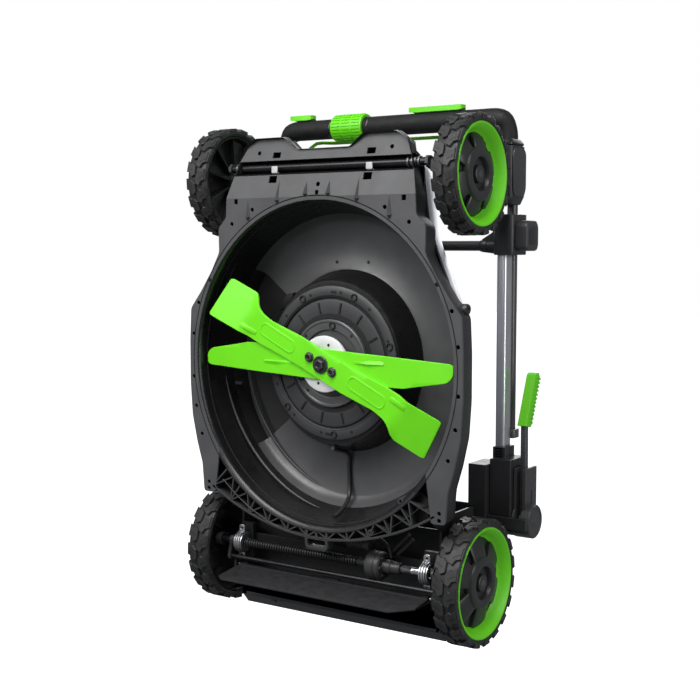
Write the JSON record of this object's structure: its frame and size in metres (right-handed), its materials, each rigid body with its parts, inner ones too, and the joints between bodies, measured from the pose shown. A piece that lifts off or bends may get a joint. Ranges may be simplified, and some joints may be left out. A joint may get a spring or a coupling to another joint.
{
  "type": "push lawn mower",
  "caption": "Battery push mower stood on its rear for storage: folded telescoping handle, open blade chamber with crossed blades, wheels on cranked axles.",
  "frame": {"origin": "on the floor under the middle of the box that the stored mower fills", "axes": "+X is the mower's left side, +Y is up through the deck when it mows (away from the blade chamber), +Z is up in storage and forward when it mows"},
  "size_m": [0.619, 0.3206, 0.935],
  "materials": {
    "black_plastic": "moulded, fine grain",
    "grey_plastic": "moulded, satin",
    "silver_shroud": "metallic silver moulding",
    "tyre_rubber": "moulded tread",
    "lime_plastic": "lime moulding",
    "lime_paint": "lime powder coat",
    "aluminium": "satin anodised",
    "bright_steel": "zinc plated",
    "dark_steel": "black coated steel",
    "white_plastic": "plain white",
    "copper": "wound copper and lamination",
    "skirt_rubber": "stiff rubber sheet"
  },
  "bodies": {
    "deck": {"deck_shell": "grey_plastic", "top_shroud": "silver_shroud", "motor_hood": "black_plastic", "motor_mount": "grey_plastic", "motor_stator": "copper", "motor_cable": "black_plastic", "controller": "black_plastic", "rear_housing": "black_plastic", "handle_bracket_left": "black_plastic", "handle_bracket_right": "black_plastic", "lever_housing": "grey_plastic", "front_axle_clip_left": "bright_steel", "front_axle_clip_right": "bright_steel", "bearing_clamp_left": "bright_steel", "bearing_clamp_right": "bright_steel", "axle_sleeve": "black_plastic", "gearbox": "black_plastic", "drive_motor": "black_plastic"},
    "cutter": {"rotor_shaft": "bright_steel", "blade_adapter": "white_plastic", "lift_blade": "lime_paint", "mulch_blade": "lime_paint", "blade_bolt": "dark_steel", "blade_pin_left": "dark_steel", "blade_pin_right": "dark_steel"},
    "battery_lid": {"battery_lid": "black_plastic"},
    "battery": {"battery_pack": "grey_plastic"},
    "side_door": {"side_door": "black_plastic"},
    "rear_door": {"rear_door": "black_plastic"},
    "skirt": {"trailing_skirt": "skirt_rubber"},
    "front_axle": {"front_axle": "dark_steel"},
    "rear_carrier": {"rear_axle_carrier": "dark_steel"},
    "drive_shaft": {"drive_shaft": "bright_steel"},
    "front_wheel_left": {"front_wheel_left_tyre": "tyre_rubber", "front_wheel_left_hub": "black_plastic"},
    "front_wheel_right": {"front_wheel_right_tyre": "tyre_rubber", "front_wheel_right_hub": "black_plastic"},
    "rear_wheel_left": {"rear_wheel_left_tyre": "tyre_rubber", "rear_wheel_left_hub": "black_plastic"},
    "rear_wheel_right": {"rear_wheel_right_tyre": "tyre_rubber", "rear_wheel_right_hub": "black_plastic"},
    "height_lever": {"height_lever": "dark_steel", "lever_grip": "lime_plastic"},
    "height_link": {"height_link": "dark_steel"},
    "lower_handle": {"knuckle_left": "black_plastic", "knuckle_right": "black_plastic", "lower_tube_left": "aluminium", "lower_tube_right": "aluminium", "telescope_yoke": "black_plastic"},
    "lock_left": {"lock_cam_left": "grey_plastic"},
    "lock_right": {"lock_cam_right": "grey_plastic"},
    "upper_handle": {"upper_rail_left": "dark_steel", "upper_rail_right": "dark_steel", "handle_housing_left": "black_plastic", "handle_housing_right": "black_plastic", "handlebar": "black_plastic"},
    "bail": {"bail_bar": "lime_paint"},
    "speed_ring": {"speed_ring": "lime_plastic"},
    "paddle": {"drive_paddle": "lime_plastic"},
    "start": {"start_button": "lime_plastic"}
  },
  "joints": [
    {"name": "blade_spin", "type": "hinge", "parent": "deck", "child": "cutter", "pos_m": [-0.0075, -0.10635, 0.474], "axis": [0, 1, 0], "continuous": true},
    {"name": "height_lever_swing", "type": "hinge", "parent": "deck", "child": "height_lever", "pos_m": [0.2875, 0.09365, 0.196], "axis": [-1, 0, 0], "range_deg": [0, 28]},
    {"name": "front_axle_crank", "type": "hinge", "parent": "deck", "child": "front_axle", "pos_m": [-0.0075, -0.09635, 0.82], "axis": [1, 0, 0], "range_deg": [-66, 0]},
    {"name": "rear_axle_crank", "type": "hinge", "parent": "deck", "child": "rear_carrier", "pos_m": [-0.0075, -0.08435, 0.126], "axis": [1, 0, 0], "range_deg": [-66, 0]},
    {"name": "height_link_slide", "type": "slide", "parent": "deck", "child": "height_link", "axis": [0, 0, 1], "range_m": [0, 0.027]},
    {"name": "front_wheel_left_spin", "type": "hinge", "parent": "front_axle", "child": "front_wheel_left", "pos_m": [0.2545, -0.04335, 0.799], "axis": [1, 0, 0], "continuous": true},
    {"name": "front_wheel_right_spin", "type": "hinge", "parent": "front_axle", "child": "front_wheel_right", "pos_m": [-0.2695, -0.04335, 0.799], "axis": [1, 0, 0], "continuous": true},
    {"name": "rear_wheel_left_spin", "type": "hinge", "parent": "rear_carrier", "child": "rear_wheel_left", "pos_m": [0.2545, -0.03435, 0.11], "axis": [1, 0, 0], "continuous": true},
    {"name": "rear_wheel_right_spin", "type": "hinge", "parent": "rear_carrier", "child": "rear_wheel_right", "pos_m": [-0.2695, -0.03435, 0.11], "axis": [1, 0, 0], "continuous": true},
    {"name": "drive_shaft_spin", "type": "hinge", "parent": "deck", "child": "drive_shaft", "pos_m": [-0.0075, -0.08435, 0.126], "axis": [1, 0, 0], "continuous": true},
    {"name": "handle_fold", "type": "hinge", "parent": "deck", "child": "lower_handle", "pos_m": [-0.0075, 0.09365, 0.196], "axis": [-1, 0, 0], "range_deg": [0, 140]},
    {"name": "handle_telescope", "type": "slide", "parent": "lower_handle", "child": "upper_handle", "axis": [0, 0, 1], "range_m": [0, 0.3]},
    {"name": "lock_cam_left_flip", "type": "hinge", "parent": "lower_handle", "child": "lock_left", "pos_m": [0.2735, 0.12065, 0.698], "axis": [0, 0, 1], "range_deg": [0, 100]},
    {"name": "lock_cam_right_flip", "type": "hinge", "parent": "lower_handle", "child": "lock_right", "pos_m": [-0.2885, 0.12065, 0.698], "axis": [0, 0, -1], "range_deg": [0, 100]},
    {"name": "bail_squeeze", "type": "hinge", "parent": "upper_handle", "child": "bail", "pos_m": [-0.0075, 0.10565, 0.816], "axis": [1, 0, 0], "range_deg": [0, 8]},
    {"name": "speed_ring_turn", "type": "hinge", "parent": "upper_handle", "child": "speed_ring", "pos_m": [-0.0965, 0.11865, 0.906], "axis": [1, 0, 0], "range_deg": [0, 120]},
    {"name": "drive_paddle_press", "type": "slide", "parent": "upper_handle", "child": "paddle", "axis": [0, 0, -1], "range_m": [0, 0.003], "stiffness_N_per_m": 600, "springref_m": -0.003},
    {"name": "start_button_press", "type": "slide", "parent": "upper_handle", "child": "start", "axis": [0, 0, -1], "range_m": [0, 0.003], "stiffness_N_per_m": 600, "springref_m": -0.003},
    {"name": "battery_lid_open", "type": "hinge", "parent": "deck", "child": "battery_lid", "pos_m": [-0.0075, 0.06765, 0.458], "axis": [-1, 0, 0], "range_deg": [0, 86]},
    {"name": "battery_lift", "type": "slide", "parent": "deck", "child": "battery", "axis": [0, 1, 0], "range_m": [0, 0.06]},
    {"name": "side_door_open", "type": "hinge", "parent": "deck", "child": "side_door", "pos_m": [-0.3015, -0.04235, 0.341], "axis": [0, 0, -1], "range_deg": [0, 70], "stiffness_Nm_per_rad": 0.2, "springref_deg": -34.38},
    {"name": "rear_door_open", "type": "hinge", "parent": "deck", "child": "rear_door", "pos_m": [-0.0075, 0.06365, 0.14], "axis": [1, 0, 0], "range_deg": [0, 75], "stiffness_Nm_per_rad": 0.6, "springref_deg": -45.84},
    {"name": "skirt_swing", "type": "hinge", "parent": "deck", "child": "skirt", "pos_m": [-0.0075, -0.08235, 0.082], "axis": [1, 0, 0], "range_deg": [0, 50]}
  ],
  "couplings": [
    {"joint": "front_axle_crank", "follows": "height_lever_swing", "ratio": -2.3},
    {"joint": "rear_axle_crank", "follows": "height_lever_swing", "ratio": -2.3},
    {"joint": "height_link_slide", "follows": "height_lever_swing", "m_per_rad": 0.05},
    {"joint": "battery_lift", "follows": "battery_lid_open", "m_per_rad": 0.036}
  ]
}
